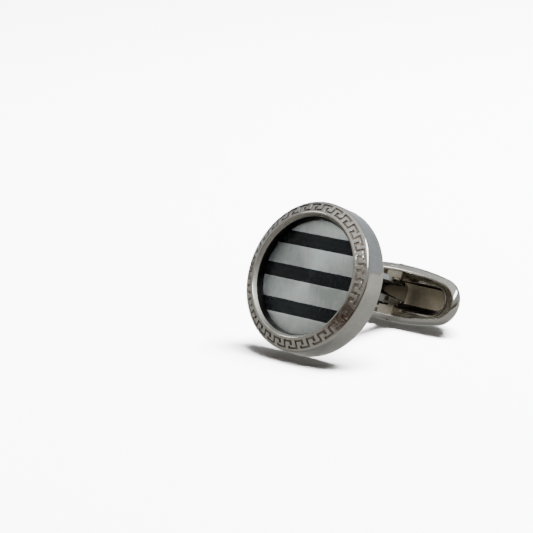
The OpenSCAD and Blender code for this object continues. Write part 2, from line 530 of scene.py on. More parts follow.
@dataclass(frozen=True)
class PolishedPlating:
    """Bright plated metal, buffed by hand: soft ripples, fine wheel marks and a little haze.

    Attributes:
        name: The finish's name.
        lay: How the cufflink lies.
        light: The metal's colour where it is brightest.
        dark: The metal's colour where it is dullest.
        gloss: The lowest roughness.
        haze: The highest roughness.
        ripple_mm: Depth of the buffing's ripples.
        marks_mm: Depth of the wheel marks.
        stretch: How far the wheel marks run along each axis.
    """

    name: str
    lay: Lay
    light: Colour = (0.36, 0.355, 0.335)
    dark: Colour = (0.30, 0.295, 0.275)
    gloss: float = 0.06
    haze: float = 0.14
    ripple_mm: float = 0.010
    marks_mm: float = 0.0006
    stretch: Point = (1.0, 1.0, 6.0)

    @cache
    def material(self) -> bpy.types.Material:
        """Build the material, once for all pieces that have it.

        Returns:
            The material.
        """
        shader = Shader(self.name)
        place = shader.face_place(self.lay)
        drawn_out = shader.face_place(self.lay, self.stretch)
        cloud = shader.noise(place, scale=0.55, detail=3.0)
        smear = shader.noise(place, scale=2.2, detail=4.0, roughness=0.6)
        marks = shader.noise(drawn_out, scale=14.0, detail=3.0, roughness=0.65)
        share = cloud * 0.6 + smear * 0.4
        ripples = shader.bump(shader.noise(place, scale=0.7, detail=1.0), self.ripple_mm)
        wear = share * 0.7 + marks * 0.3
        bright = shader.spread(share, 0.0, 1.0, start=0.3, end=0.7)
        return shader.dress(
            Base_Color=shader.tint(bright, self.dark, self.light),
            Metallic=1.0,
            Roughness=shader.spread(wear, self.gloss, self.haze, start=0.3, end=0.7),
            Normal=shader.bump(marks, self.marks_mm, ripples),
        )


@dataclass(frozen=True)
class KeyPatina:
    """The darkened, unpolished metal in the bottom of the engraved key lines.

    Attributes:
        lay: How the cufflink lies.
        light: Its colour where polish has reached it.
        dark: Its colour where the darkening is full.
        gloss: The lowest roughness.
        haze: The highest roughness.
        grain_mm: Depth of its grain.
    """

    lay: Lay
    light: Colour = (0.23, 0.205, 0.18)
    dark: Colour = (0.085, 0.074, 0.066)
    gloss: float = 0.32
    haze: float = 0.55
    grain_mm: float = 0.01

    def material(self) -> bpy.types.Material:
        """Build the material.

        Returns:
            The material.
        """
        shader = Shader("key_patina")
        grain = shader.noise(shader.face_place(self.lay), scale=5.0, detail=4.0, roughness=0.65)
        bright = shader.spread(grain, 0.0, 1.0, start=0.35, end=0.65)
        return shader.dress(
            Base_Color=shader.tint(bright, self.dark, self.light),
            Metallic=1.0,
            Roughness=shader.spread(grain, self.gloss, self.haze, start=0.3, end=0.7),
            Normal=shader.bump(grain, self.grain_mm),
        )


@dataclass(frozen=True)
class BrushedFace:
    """A brushed surface: lines that run out from the middle, under a fine upright grain, and a painted
    sheen of light and dark fans about the middle.

    Attributes:
        name: The finish's name.
        lay: How the cufflink lies.
        light: The colour on the crests of the brush lines, and in the painted sheen's bright fans.
        dark: The colour in the brush lines, and in the painted sheen's dark fans.
        gloss: The lowest roughness.
        haze: The highest roughness.
        metallic: 1 on bare metal, 0 on enamel.
        shine: How strongly a surface that isn't metal mirrors.
        painted_sheen: How much the painted sheen's light and dark fans about the middle differ, from 0 to
            1.
        painted_sheen_turn: Twice the bearing at which the painted sheen is brightest, in radians.
        rays_mm: Depth of the lines that run out from the middle.
        grain_mm: Depth of the upright grain.
    """

    name: str
    lay: Lay
    light: Colour = (0.37, 0.405, 0.405)
    dark: Colour = (0.20, 0.22, 0.22)
    gloss: float = 0.33
    haze: float = 0.41
    metallic: float = 0.85
    shine: float = 0.5
    painted_sheen: float = 0.9
    painted_sheen_turn: float = 0.7
    rays_mm: float = 0.0003
    grain_mm: float = 0.0003

    @cache
    def material(self) -> bpy.types.Material:
        """Build the material, once for all pieces that have it.

        Returns:
            The material.
        """
        shader = Shader(self.name)
        place = shader.face_place(self.lay)
        across, up, _ = shader.axes(place)
        bearing = shader.node("ShaderNodeMath", {"operation": "ARCTAN2"}, {0: across, 1: up})
        lines = {"W": bearing, "Scale": 60.0, "Detail": 4.0}
        rays = shader.node("ShaderNodeTexNoise", {"noise_dimensions": "1D"}, lines)
        upright = shader.face_place(self.lay, stretch=(1.0, 9.0, 1.0))
        grain = shader.noise(upright, scale=9.0, detail=1.5)
        cloud = shader.noise(place, scale=0.5, detail=2.0)
        # Painted sheen: light and dark fans about the middle, painted into the colour by bearing
        painted_sheen_fans = shader.node("ShaderNodeMath", {"operation": "COSINE"}, {0: bearing * 2.0 - self.painted_sheen_turn})
        share = rays * 0.15 + grain * 0.5 + cloud * 0.35 + painted_sheen_fans * (0.3 * self.painted_sheen)
        rayed = shader.bump(rays, self.rays_mm)
        bright = shader.spread(share, 0.0, 1.0, start=0.2, end=0.8)
        return shader.dress(
            Base_Color=shader.tint(bright, self.dark, self.light),
            Metallic=self.metallic,
            Specular_IOR_Level=self.shine,
            Roughness=shader.spread(share, self.gloss, self.haze, start=0.3, end=0.7),
            Normal=shader.bump(grain, self.grain_mm, rayed),
        )


# The head


@dataclass
class Cup:
    """The cup: side wall, key-pattern bezel, rolled lip and the recess for the face.

    Attributes:
        lay: How the cufflink lies.
        polish: The outside's finish.
        patina: The finish inside the key lines.
        recess: The near-black finish inside the lip, down to the face: painted shade.
        lip_inside: The finish of the lip's inner slope.
        radius: Outer radius.
        depth: Depth of the side wall.
        back_rings: Radii of rings on the flat back, which keep its shading even.
        wall_rings: Heights of rings up the side wall, which keep its shading even.
        back_edge_r: Rounding of the edge between back and wall.
        front_edge_r: Rounding of the edge between wall and bezel.
        front_drop: How far behind the front of the wall that rounding has its middle.
        band_slope: How steep the bezel's band is, in degrees.
        band_rings: Radii of rings on the band besides those of the key lines.
        lip_mid_r: Radius of the lip's crest.
        lip_r: Rounding of the lip.
        bevel_slope: How steep the slope inside the lip is, in degrees.
        shade_w: Width of that slope's lower part, which has the recess wall's painted shade.
        satin_span: Radii between which the inside of the lip is satin.
        painted_shade_span: Radii between which it has the near-black painted shade.
        recess_r: Radius of the recess.
        seat_depth: Depth of the recess, where the face plate sits.
        seat_ring: Radius of a ring on that seat.
        repeats: How often the key pattern repeats round the bezel.
        line_w: Width of its lines.
        line_depth: Their depth.
        line_draft: How far their walls lean.
        corner_round: Rounding of the upright corners between their walls.
        rim_round: Rounding of their rims.
        inner_run: Radius of the line round the inside of the pattern.
        outer_run: Radius of the line round its outside.
        bar_turn: Where in a repeat the bar rises from the inner line, from 0 to 1.
        bar_top: Radius at which the bar ends.
        bar_half_turn: Half of the bar's width, as a share of a repeat.
        hook_turn: Where in a repeat the hook comes down from the outer line.
        hook_foot: Radius at which the hook ends.
        half_turn: Half of the other upright lines' width, as a share of a repeat.
        column_w: Widest column of faces, as a share of a repeat.
        columns: Where in a repeat the columns of faces begin and end.
    """

    lay: Lay
    polish: PolishedPlating
    patina: KeyPatina
    recess: PolishedPlating
    lip_inside: PolishedPlating
    radius: float = 9.0
    depth: float = 2.9
    back_rings: tuple[float, float] = (3.0, 6.5)
    wall_rings: tuple[float, float, float] = (-1.9, -1.2, -0.6)
    back_edge_r: float = 0.35
    front_edge_r: float = 0.4
    front_drop: float = 0.08
    band_slope: float = 30.0
    band_rings: tuple[float, ...] = (8.73, 8.17, 8.04, 7.67)
    lip_mid_r: float = 7.48
    lip_r: float = 0.2
    bevel_slope: float = 62.0
    shade_w: float = 0.22
    satin_span: tuple[float, float] = (7.09, 7.32)
    painted_shade_span: tuple[float, float] = (6.8, 7.06)
    recess_r: float = 6.87
    seat_depth: float = 1.2
    seat_ring: float = 3.0
    repeats: int = 30
    line_w: float = 0.25
    line_depth: float = 0.14
    line_draft: float = 0.035
    corner_round: float = 0.07
    rim_round: float = 0.025
    inner_run: float = 7.84
    outer_run: float = 8.57
    bar_turn: float = 0.45
    bar_top: float = 8.293
    bar_half_turn: float = 0.09
    hook_turn: float = 0.66
    hook_foot: float = 8.366
    half_turn: float = 0.073
    column_w: float = 0.075
    columns: list[float] = field(default_factory=list)

    def __post_init__(self) -> None:
        """Set out the columns of one repeat, with one on each side of every line."""
        bar = [self.bar_turn - self.bar_half_turn, self.bar_turn + self.bar_half_turn]
        hook = [self.hook_turn - self.half_turn, self.hook_turn + self.half_turn]
        edges = sorted([0.0, self.half_turn, *bar, *hook, 1.0 - self.half_turn, 1.0])
        for before, after in zip(edges, edges[1:]):
            parts = max(1, round((after - before) / self.column_w))
            self.columns += [before + (after - before) * i / parts for i in range(parts)]
        self.columns.append(1.0)

    def band_height(self, radius: float) -> float:
        """Work out the height of the bezel's slope at a radius.

        Args:
            radius: The radius.

        Returns:
            The height in front of the side wall.
        """
        slope = math.radians(self.band_slope)
        outer_r = self.radius - self.front_edge_r * (1 - math.sin(slope))
        outer_h = self.front_edge_r * math.cos(slope) - self.front_drop
        return outer_h + (outer_r - radius) * math.tan(slope)

    def half_line(self) -> float:
        """Return half of a key line's width, seen from the front."""
        return self.line_w / 2 * math.cos(math.radians(self.band_slope))

    def profile(self) -> Outline:
        """Set out the cup's section, from the middle of its back to the middle of its recess.

        Returns:
            The radius and height of each point.
        """
        slope = math.radians(self.band_slope)
        band_top_r = self.lip_mid_r + self.lip_r * math.sin(slope)
        lip_mid_h = self.band_height(band_top_r) - self.lip_r * math.cos(slope)
        bevel = math.radians(self.bevel_slope)
        bevel_top_r = self.lip_mid_r - self.lip_r * math.sin(bevel)
        bevel_top_h = lip_mid_h + self.lip_r * math.cos(bevel)
        bevel_foot_h = bevel_top_h - (bevel_top_r - self.recess_r) * math.tan(bevel)
        half = self.half_line()
        runs = [run + side * half for run in (self.inner_run, self.outer_run) for side in (-1, 1)]
        rows = sorted([*self.band_rings, *runs, self.hook_foot, self.bar_top], reverse=True)
        back_middle = (self.radius - self.back_edge_r, self.back_edge_r - self.depth)
        front_middle = (self.radius - self.front_edge_r, -self.front_drop)
        return [
            *[(r, -self.depth) for r in (0.0, *self.back_rings)],
            *arc(back_middle, self.back_edge_r, -90, 0, 6),
            *[(self.radius, h) for h in self.wall_rings],
            *arc(front_middle, self.front_edge_r, 0, 90 - self.band_slope, 7),
            *[(r, self.band_height(r)) for r in rows],
            *arc((self.lip_mid_r, lip_mid_h), self.lip_r, 90 - self.band_slope, 90 + self.bevel_slope, 8),
            (self.recess_r + self.shade_w, bevel_foot_h + self.shade_w * math.tan(bevel)),
            (self.recess_r, bevel_foot_h),
            *[(r, -self.seat_depth) for r in (self.recess_r, self.seat_ring, 0.0)],
        ]

    def in_key_line(self, face: bmesh.types.BMFace) -> bool:
        """Tell whether a face of the bezel lies in a line of the key pattern.

        Args:
            face: The face, before the lines are sunk.

        Returns:
            Whether it does.
        """
        middle = face.calc_center_median()
        radius = math.hypot(middle.x, middle.y)
        band_foot = self.band_height(self.band_rings[0]) - self.line_depth
        if middle.z < band_foot or face.normal.z < 0.7:
            return False
        turn = math.degrees(math.atan2(middle.x, middle.y)) * self.repeats / 360 % 1.0
        half = self.half_line()
        riser = turn < self.half_turn or turn > 1 - self.half_turn
        in_inner = abs(radius - self.inner_run) < half
        in_outer = abs(radius - self.outer_run) < half
        in_bar = abs(turn - self.bar_turn) < self.bar_half_turn
        in_hook = abs(turn - self.hook_turn) < self.half_turn
        return (
            (riser and self.inner_run - half < radius < self.outer_run + half)
            or (in_inner and (turn > self.bar_turn - self.bar_half_turn or riser))
            or (in_outer and (turn < self.hook_turn + self.half_turn or riser))
            or (in_bar and self.inner_run - half < radius < self.bar_top)
            or (in_hook and self.hook_foot < radius < self.outer_run + half)
        )

    def is_inside(self, face: bmesh.types.BMFace, span: tuple[float, float]) -> bool:
        """Tell whether a face belongs to the inside of the lip or the recess, and faces inwards.

        Args:
            face: The face.
            span: The radii that its middle lies between.

        Returns:
            Whether it does.
        """
        middle = face.calc_center_median()
        radius = math.hypot(middle.x, middle.y)
        inwards = -(middle.x * face.normal.x + middle.y * face.normal.y)
        return span[0] < radius < span[1] and middle.z > 0.1 - self.seat_depth and inwards > 0.6 * radius

    def is_line_corner(self, edge: bmesh.types.BMEdge) -> bool:
        """Tell whether an edge is an upright corner between two walls of a key line.

        Args:
            edge: The edge.

        Returns:
            Whether it is.
        """
        way = (edge.verts[1].co - edge.verts[0].co).normalized()
        walls = [abs(face.normal.z) < 0.5 for face in edge.link_faces]
        radius = math.hypot(*edge.verts[0].co.xy)
        on_band = self.inner_run - self.line_w < radius < self.outer_run + self.line_w
        upright = abs(way.z) > 0.8 and edge.verts[0].co.z > 0
        return upright and on_band and len(walls) == 2 and all(walls) and edge.calc_face_angle() > 0.8

    def is_line_rim(self, edge: bmesh.types.BMEdge) -> bool:
        """Tell whether an edge is a rim between the bezel's slope and a key line's wall.

        Args:
            edge: The edge.

        Returns:
            Whether it is.
        """
        if len(edge.link_faces) != 2:
            return False
        for face, other in (edge.link_faces, reversed(edge.link_faces)):
            middle = face.calc_center_median()
            radius = math.hypot(middle.x, middle.y)
            on_band = self.inner_run - self.line_w < radius < self.outer_run + self.line_w
            on_slope = on_band and abs(middle.z - self.band_height(radius)) < self.line_draft
            if on_slope and face.normal.z > 0.7 and abs(other.normal.z) < 0.55:
                return True
        return False

    def build(self) -> bpy.types.Object:
        """Spin the cup and engrave its bezel.

        Returns:
            The finished piece.
        """
        piece = Bench.start("cup", bpy.ops.mesh.primitive_plane_add, size=0.1)
        bpy.ops.mesh.delete(type="VERT")
        Bench.trace([Vector((0.0, r, h)) for r, h in self.profile()])
        bpy.ops.mesh.select_all(action="SELECT")
        step = 2 * math.pi / self.repeats
        for before, after in zip(self.columns, self.columns[1:]):
            bpy.ops.mesh.spin(steps=1, angle=(after - before) * step, center=(0, 0, 0), axis=(0, 0, -1))
        bpy.ops.mesh.select_all(action="SELECT")
        bpy.ops.mesh.spin(
            steps=self.repeats - 1,
            dupli=True,
            angle=(self.repeats - 1) * step,
            center=(0, 0, 0),
            axis=(0, 0, -1),
        )
        Bench.merge()
        Bench.face_outwards()
        sunk = Bench.select(Element.FACES, self.in_key_line)
        LOG.info("cup: %d faces in the key lines", sunk)
        for finish in (self.polish, self.patina, self.recess, self.lip_inside):
            piece.data.materials.append(finish.material())
        Bench.assign(1)
        bpy.ops.mesh.inset(thickness=self.line_draft, depth=-self.line_depth)
        LOG.info("cup: %d line corners", Bench.select(Element.EDGES, self.is_line_corner))
        Bench.bevel(self.corner_round, 3)
        LOG.info("cup: %d line rims", Bench.select(Element.EDGES, self.is_line_rim))
        Bench.bevel(self.rim_round, 2)
        Bench.assign(1)
        Bench.select(Element.FACES, lambda f: self.is_inside(f, self.satin_span))
        Bench.assign(3)
        # Painted shade: the recess wall and the slope's lower part get the near-black finish
        Bench.select(Element.FACES, lambda f: self.is_inside(f, self.painted_shade_span))
        Bench.assign(2)
        Bench.close()
        Bench.smooth(piece, 50.0)
        self.lay.place(piece)
        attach(piece, "head_body")
        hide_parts("head")
        return piece


@dataclass
class Post:
    """The square post with its round nose about the pin, on a low flange soldered to the cup.

    Attributes:
        lay: How the cufflink lies.
        polish: The finish.
        pin: The pin's middle.
        thick: Its size along the toggle.
        width: Its size along the pin.
        root: Height at which it starts, inside the cup's back.
        flange_top: Height at which the flange ends.
        flange_r: Radius of the flange.
        flange_round: Rounding of the flange's edge.
        bore_r: Radius of the pin's bore.
        chamfer: Width of the post's chamfers.
        edge_round: Rounding of the chamfers' edges.
        nose_steps: How many faces each half of the round nose has.
    """

    lay: Lay
    polish: PolishedPlating
    pin: Vector
    thick: float = 2.8
    width: float = 3.2
    root: float = -2.8
    flange_top: float = -3.4
    flange_r: float = 2.6
    flange_round: float = 0.22
    bore_r: float = 0.5
    chamfer: float = 0.7
    edge_round: float = 0.05
    nose_steps: int = 14

    def is_nose_edge(self, edge: bmesh.types.BMEdge) -> bool:
        """Tell whether an edge of the block is one of the two that become the round nose.

        Args:
            edge: The edge.

        Returns:
            Whether it is.
        """
        nose = self.pin.z - self.thick / 2
        first, second = (vertex.co for vertex in edge.verts)
        return max(first.z, second.z) < nose + NEAR and abs(first.x - second.x) < NEAR

    def is_side_edge(self, edge: bmesh.types.BMEdge) -> bool:
        """Tell whether an edge bounds one of the two flat sides that the pin goes through.

        Args:
            edge: The edge.

        Returns:
            Whether it does. The edges at the root, inside the cup, don't count.
        """
        first, second = (vertex.co for vertex in edge.verts)
        outermost = all(abs(abs(v.y - self.pin.y) - self.width / 2) < NEAR for v in (first, second))
        at_root = min(first.z, second.z) > self.root - NEAR
        return outermost and abs(first.y - second.y) < NEAR and not at_root

    def build(self) -> bpy.types.Object:
        """Make the post.

        Returns:
            The finished piece.
        """
        nose = self.pin.z - self.thick / 2
        middle = (0.0, self.pin.y, (self.root + nose) / 2)
        piece = Bench.block("post", middle, (self.thick, self.width, self.root - nose))
        Bench.select(Element.EDGES, self.is_nose_edge)
        Bench.bevel(self.thick / 2 - 2 * NEAR, self.nose_steps)
        Bench.merge(10 * NEAR)
        Bench.select(Element.EDGES, self.is_side_edge)
        Bench.bevel(self.chamfer, 1)
        Bench.select(Element.EDGES, lambda e: len(e.link_faces) == 2 and 0.6 < e.calc_face_angle() < 1.0)
        Bench.bevel(self.edge_round, 2)
        Bench.close()
        flange_middle = (0.0, self.pin.y, (self.root + self.flange_top) / 2)
        flange = Bench.rod("flange", self.flange_r, self.root - self.flange_top, flange_middle, 96)
        Bench.select(Element.EDGES, lambda e: all(v.co.z < self.flange_top + NEAR for v in e.verts))
        Bench.bevel(self.flange_round, 5)
        Bench.close()
        Bench.combine(piece, flange, "UNION")
        bore = Bench.rod("bore", self.bore_r, self.width * 2, self.pin, turn=UPRIGHT)
        Bench.close()
        Bench.combine(piece, bore, "DIFFERENCE")
        Bench.smooth(piece, 40.0)
        piece.data.materials.clear()
        piece.data.materials.append(self.polish.material())
        self.lay.place(piece)
        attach(piece, "head_body")
        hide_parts("head")
        return piece


# The face


@dataclass
class Face:
    """The brushed plate with its pockets, and the three black bars that fill them.

    Attributes:
        lay: How the cufflink lies.
        satin: The plate's finish.
        enamel: The bars' finish.
        radius: Radius of the plate.
        front: Height of its front.
        thick: Its thickness.
        stripe_w: Width of a pocket.
        pitch: From the middle of one pocket to the next.
        rise: How far above the middle of the face the middle pocket lies.
        pocket: Depth of the pockets.
        pocket_round: Rounding of their floors' edges.
        sink: How far the bars lie below the plate's front.
        side_gap: Gap between a bar and its pocket.
        rounding: Rounding of the front edges of plate and bars.
        sides: How many sides the round outline has.
    """

    lay: Lay
    satin: BrushedFace
    enamel: BrushedFace
    radius: float = 6.85
    front: float = -0.38
    thick: float = 0.8
    stripe_w: float = 1.66
    pitch: float = 4.08
    rise: float = 0.15
    pocket: float = 0.3
    pocket_round: float = 0.05
    sink: float = 0.02
    side_gap: float = 0.01
    rounding: float = 0.03
    sides: int = 256

    def row_middle(self, row: int) -> float:
        """Return the height of a bar's middle on the face."""
        return self.rise + row * self.pitch

    def is_front_corner(self, edge: bmesh.types.BMEdge) -> bool:
        """Return whether an edge is a corner of the plate's front."""
        level = all(abs(v.co.z - self.front) < NEAR for v in edge.verts)
        return level and len(edge.link_faces) == 2 and edge.calc_face_angle() > 0.8

    def build_plate(self) -> bpy.types.Object:
        """Make the plate.

        Returns:
            The finished piece.
        """
        middle = (0, 0, self.front - self.thick / 2)
        piece = Bench.rod("brushed_plate", self.radius, self.thick, middle, self.sides)
        Bench.close()
        for row in (-1, 0, 1):
            middle = (0.0, self.row_middle(row), self.front)
            cutter = Bench.block("pocket", middle, (self.radius * 2.4, self.stripe_w, self.pocket * 2))
            Bench.select(Element.EDGES, lambda e: all(v.co.z < self.front - NEAR for v in e.verts))
            Bench.bevel(self.pocket_round, 2)
            Bench.close()
            Bench.combine(piece, cutter, "DIFFERENCE")
        Bench.reopen(piece)
        Bench.select(Element.EDGES, self.is_front_corner)
        Bench.bevel(self.rounding, 3)
        Bench.close()
        Bench.smooth(piece, 40.0)
        piece.data.materials.clear()
        piece.data.materials.append(self.satin.material())
        self.lay.place(piece)
        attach(piece, "head_body")
        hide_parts("face_plate")
        return piece

    def build_bar(self, row: int, name: str) -> bpy.types.Object:
        """Make one black bar.

        Args:
            row: 1 for the top one, 0 for the middle one, -1 for the bottom one.
            name: The CAD node that it stands for.

        Returns:
            The finished piece.
        """
        top = self.front - self.sink
        foot = self.front - self.pocket + self.side_gap
        half = self.stripe_w / 2 - self.side_gap
        middle = self.row_middle(row)
        radius = self.radius - self.side_gap
        piece = Bench.rod(f"{name}_inlay", radius, top - foot, (0, 0, (top + foot) / 2), self.sides)
        for side in (-1, 1):
            bpy.ops.mesh.select_all(action="SELECT")
            cut = {"plane_co": (0, middle + side * half, 0), "plane_no": (0, side, 0)}
            bpy.ops.mesh.bisect(**cut, use_fill=True, clear_outer=True)
        Bench.face_outwards()
        Bench.select(Element.EDGES, lambda e: all(v.co.z > top - NEAR for v in e.verts))
        Bench.bevel(self.rounding, 3)
        Bench.close()
        Bench.smooth(piece, 40.0)
        piece.data.materials.append(self.enamel.material())
        self.lay.place(piece)
        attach(piece, "head_body")
        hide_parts(name)
        return piece


# The toggle


@dataclass
class Toggle:
    """The boat-shaped bar: a smooth hull, a dish that falls to a slot, and an open end.

    Attributes:
        lay: How the cufflink lies.
        polish: The outside's finish.
        dish: The dish's finish.
        slot: The slot walls' near-black finish: painted shade.
        floor: The finish of the slot's floor.
        pin: The pin's middle, in the middle of the toggle too.
        half_len: Half of its length.
        half_w: Half of its width.
        end_r: Rounding of its ends.
        end_steps: How many edges an end has.
        side_steps: How many edges a side has.
        hull: Sections of the outside, from the widest one back: depth behind the pin, cuts off
            the length and the width, and drop.
        widest: Depth of the widest section.
        rim: Sections of the rim and the dish's top, from the widest one forward and in.
        lip: Depth and half width of the rings from the dish down to the slot.
        slot_half_w: Half of the slot's width.
        slot_reach: How far along the toggle the slot's round end reaches.
        slot_foot: Depth and half width of the slot's lowest rings.
        foot_rise: How far above the pin those rings lie.
        notch_floor: Depth of the slot's open end.
        notch_start: How far along the toggle the open end starts, on its other side.
        notch_round: Rounding of the open end's lower edges.
        hole_r: Radius of the pin's hole.
        lug_r: How far the lugs reach past the pin, forward and towards the slot's round end.
        lug_back: How far they reach towards the open end.
        lug_half_w: How far out they reach.
        lug_foot: How far behind the pin they reach.
        lug_round: Rounding of their front edges.
        past_lugs: How far the cut between the lugs reaches past them.
        past_end: How far the cut of the open end reaches past the toggle.
    """

    lay: Lay
    polish: PolishedPlating
    dish: PolishedPlating
    slot: PolishedPlating
    floor: PolishedPlating
    pin: Vector
    half_len: float = 9.8
    half_w: float = 3.6
    end_r: float = 2.9
    end_steps: int = 10
    side_steps: int = 10
    hull: tuple[Section, ...] = (
        (0.30, 0.15, 0.00, 0.0),
        (0.90, 0.60, 0.04, 0.0),
        (1.75, 1.35, 0.22, 0.0),
        (2.40, 2.10, 0.62, 0.0),
        (3.00, 3.00, 1.28, 0.0),
        (3.40, 4.10, 2.10, 0.0),
        (3.52, 5.60, 2.80, 0.0),
    )
    widest: float = 0.0
    rim: tuple[Section, ...] = (
        (-0.26, 0.04, 0.05, 0.00),
        (-0.46, 0.14, 0.20, 0.01),
        (-0.63, 0.27, 0.40, 0.05),
        (-0.77, 0.42, 0.60, 0.09),
        (-0.82, 0.54, 0.74, 0.12),
        (-0.78, 0.63, 0.84, 0.15),
        (-0.60, 0.72, 0.88, 0.17),
    )
    lip: tuple[tuple[float, float], ...] = ((1.30, 2.02), (1.20, 1.94), (1.20, 1.85), (1.36, 1.78))
    slot_half_w: float = 1.78
    slot_reach: float = 6.65
    slot_foot: tuple[tuple[float, float], ...] = ((2.18, 1.38), (2.28, 1.34))
    foot_rise: float = 0.38
    notch_floor: float = 1.55
    notch_start: float = 4.0
    notch_round: float = 0.25
    hole_r: float = 0.47
    lug_r: float = 0.65
    lug_back: float = 1.55
    lug_half_w: float = 3.2
    lug_foot: float = 1.25
    lug_round: float = 0.09
    past_lugs: float = 1.0
    past_end: float = 0.4

    def plan(self, half_len: float, half_w: float) -> list[Vector]:
        """Set out the boat's plan: arc sides that run into round ends.

        Args:
            half_len: Half of its length.
            half_w: Half of its width.

        Returns:
            The points round it.
        """
        end_r = self.end_r * half_w / self.half_w
        end_x = half_len - end_r
        side_r = (end_x**2 + half_w**2 - end_r**2) / (2 * (half_w - end_r))
        side_z = side_r - half_w
        touch = math.degrees(math.atan2(side_z, end_x))
        right = arc((end_x, 0.0), end_r, -touch, touch, self.end_steps)[:-1]
        top = arc((0.0, -side_z), side_r, touch, 180 - touch, self.side_steps)[:-1]
        half = [Vector((x, y, 0.0)) for x, y in right + top]
        return half + [-point for point in half]

    def stadium(self, half_w: float) -> list[Vector]:
        """Set out a long round-ended ring about the slot, with as many points as the plan.

        Args:
            half_w: Half of its width.

        Returns:
            The points round it.
        """
        end_x = self.slot_reach - self.slot_half_w
        right = arc((end_x, 0.0), half_w, -90, 90, self.end_steps)[:-1]
        top = [(end_x * (1 - 2 * i / self.side_steps), half_w) for i in range(self.side_steps)]
        half = [Vector((x, y, 0.0)) for x, y in right + top]
        return half + [-point for point in half]

    def at(self, ring: Sequence[Vector], depth: float) -> list[Vector]:
        """Return a ring moved to a depth behind the pin."""
        return [point + self.pin - Vector((0, 0, depth)) for point in ring]

    def depth_of(self, face: bmesh.types.BMFace) -> float:
        """Return how far a face's middle lies behind the pin."""
        return self.pin.z - face.calc_center_median().z

    def is_hollow(self, face: bmesh.types.BMFace) -> bool:
        """Tell whether a face belongs to the dish or the slot, not to the hull.

        Args:
            face: The face.

        Returns:
            Whether it does.
        """
        if self.depth_of(face) > self.slot_foot[-1][0] + 0.05:
            return False
        away = face.calc_center_median() - self.pin
        inwards = away.x * face.normal.x + away.y * face.normal.y < 0
        return inwards or (face.normal.z > 0.9 and self.depth_of(face) > self.lip[-1][0])

    def level(self, depth: float) -> Callable[[bmesh.types.BMEdge], bool]:
        """Return a test for the edges that lie at a depth behind the pin."""
        z = self.pin.z - depth
        return lambda edge: all(abs(v.co.z - z) < NEAR for v in edge.verts)

    def loft(self, sections: Sequence[Section]) -> None:
        """Extrude the selected ring, which is the widest one, from section to section.

        Args:
            sections: Depth behind the pin, cuts off the length and the width, and drop of each one.
        """
        depth, length, width, drop = self.widest, self.half_len, self.half_w, 0.0
        for new_depth, length_cut, width_cut, new_drop in sections:
            Bench.extrude(Vector((0, drop - new_drop, depth - new_depth)))
            new_length, new_width = self.half_len - length_cut, self.half_w - width_cut
            Bench.scale((new_length / length, new_width / width, 1.0), self.pin - Vector((0, new_drop, 0)))
            depth, length, width, drop = new_depth, new_length, new_width, new_drop

    def add_ring(self, depth: float, half_w: float, rise: float, before: float) -> None:
        """Draw a ring about the slot, and join it to the open ring before it.

        Args:
            depth: How deep the ring lies behind the pin.
            half_w: Half of its width.
            rise: How far it lies above the pin.
            before: How deep the ring before it lies.
        """
        Bench.trace_ring([point + Vector((0, rise, 0)) for point in self.at(self.stadium(half_w), depth)])
        Bench.merge()
        both = (self.level(before), self.level(depth))
        Bench.select(Element.EDGES, lambda e: any(test(e) for test in both) and len(e.link_faces) < 2)
        bpy.ops.mesh.bridge_edge_loops()

    def block(self, name: str, low: Sequence[float], high: Sequence[float]) -> bpy.types.Object:
        """Add a block between two corners given from the pin, and open it for editing."""
        first, last = Vector(low), Vector(high)
        return Bench.block(name, self.pin + (first + last) / 2, last - first)

    def add_lugs(self, piece: bpy.types.Object) -> None:
        """Weld the two lugs that hold the pin to the dish's slopes.

        Args:
            piece: The toggle.
        """
        low = (-self.lug_back, -self.lug_half_w, -self.lug_foot)
        high = (self.lug_r, self.lug_half_w, self.lug_r)
        lugs = self.block("lugs", low, high)
        front = self.pin.z + self.lug_r
        for finish in piece.data.materials:
            lugs.data.materials.append(finish)
        Bench.assign(1)
        Bench.select(Element.EDGES, lambda e: all(abs(v.co.z - front) < NEAR for v in e.verts))
        Bench.bevel(self.lug_round, 4)
        Bench.close()
        gap, past = self.slot_half_w, self.past_lugs
        foot = (low[0] - past, -gap, low[2] - past)
        top = (high[0] + past, gap, high[2] + past)
        slot = self.block("slot_gap", foot, top)
        Bench.close()
        Bench.combine(lugs, slot, "DIFFERENCE")
        Bench.combine(piece, lugs, "UNION")

    def build(self) -> bpy.types.Object:
        """Make the toggle.

        Returns:
            The finished piece.
        """
        piece = Bench.start("toggle_bar", bpy.ops.mesh.primitive_plane_add, size=0.1)
        bpy.ops.mesh.delete(type="VERT")
        Bench.trace_ring(self.at(self.plan(self.half_len, self.half_w), self.widest))
        Bench.merge()
        bpy.ops.mesh.select_mode(type="EDGE")
        bpy.ops.mesh.select_all(action="SELECT")
        self.loft(self.hull)
        bpy.ops.mesh.fill_grid(span=5)
        Bench.select(Element.EDGES, self.level(self.widest))
        self.loft(self.rim)
        before = self.rim[-1][0]
        for depth, half_w in self.lip:
